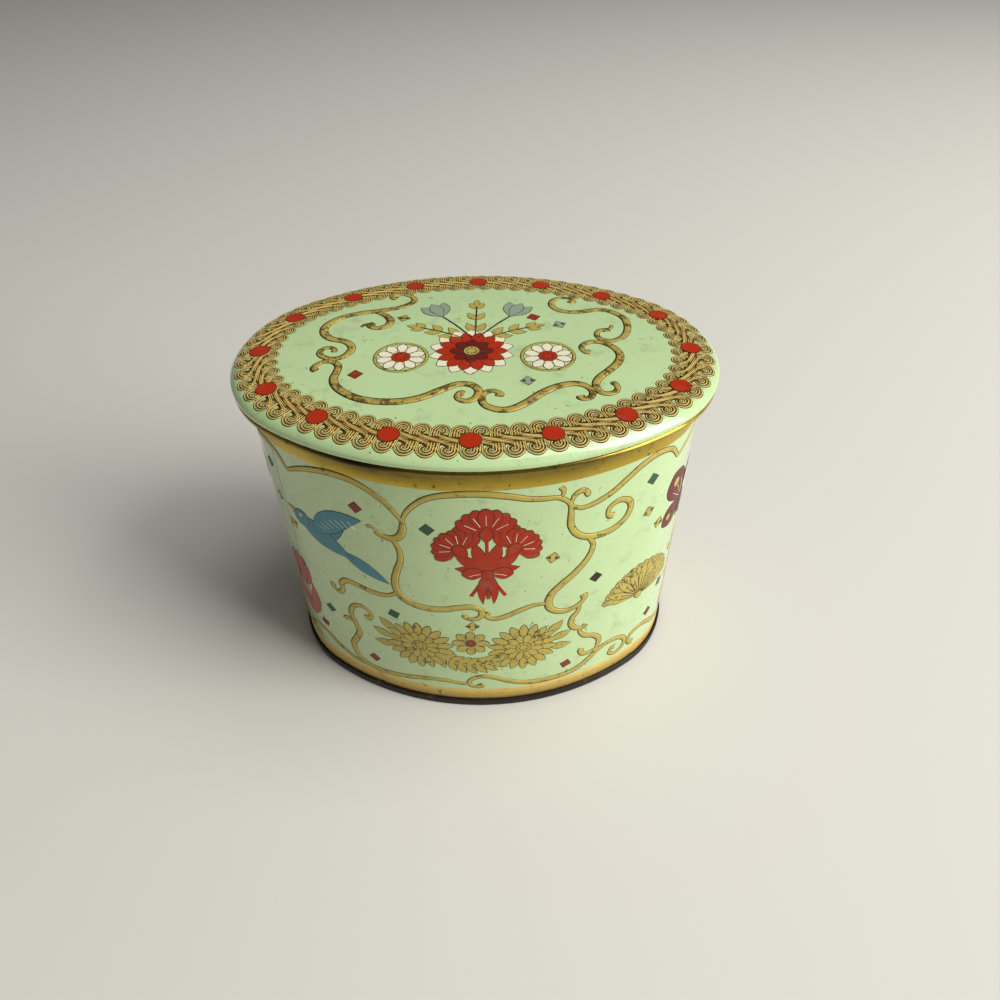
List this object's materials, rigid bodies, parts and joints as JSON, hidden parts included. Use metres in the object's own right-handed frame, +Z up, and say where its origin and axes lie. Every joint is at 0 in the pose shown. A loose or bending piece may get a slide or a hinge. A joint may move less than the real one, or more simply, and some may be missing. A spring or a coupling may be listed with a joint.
{
  "type": "oval tin",
  "caption": "Upright oval tinplate box with a flared gold rim, a double-seamed base and a shallow domed lid that lifts off.",
  "frame": {"origin": "centre of the foot ring, on the surface that the tin stands on", "axes": "+X along the oval's long axis to the right, -Y to the front, +Z up"},
  "size_m": [0.165, 0.119, 0.131],
  "materials": {
    "lid_print": "pale green lithographed tinplate, gloss varnish",
    "body_print": "pale green lithographed tinplate, gloss varnish",
    "base_tinplate": "dark lacquered tinplate, aged",
    "gold_print": "gold lacquer over tinplate, gloss",
    "red_print": "red lithographed ink, gloss",
    "blue_print": "dull blue-green lithographed ink, gloss",
    "ink_line": "dark brown printed key line, gloss",
    "bare_tinplate": "bare tinplate inside, dull with age"
  },
  "bodies": {
    "tin_body": {"body_wall": "body_print", "base": "base_tinplate"},
    "lid": {"lid": "lid_print"}
  },
  "joints": [
    {"name": "lid_lift", "type": "slide", "parent": "tin_body", "child": "lid", "axis": [0, 0, 1], "range_m": [0, 0.08]}
  ]
}
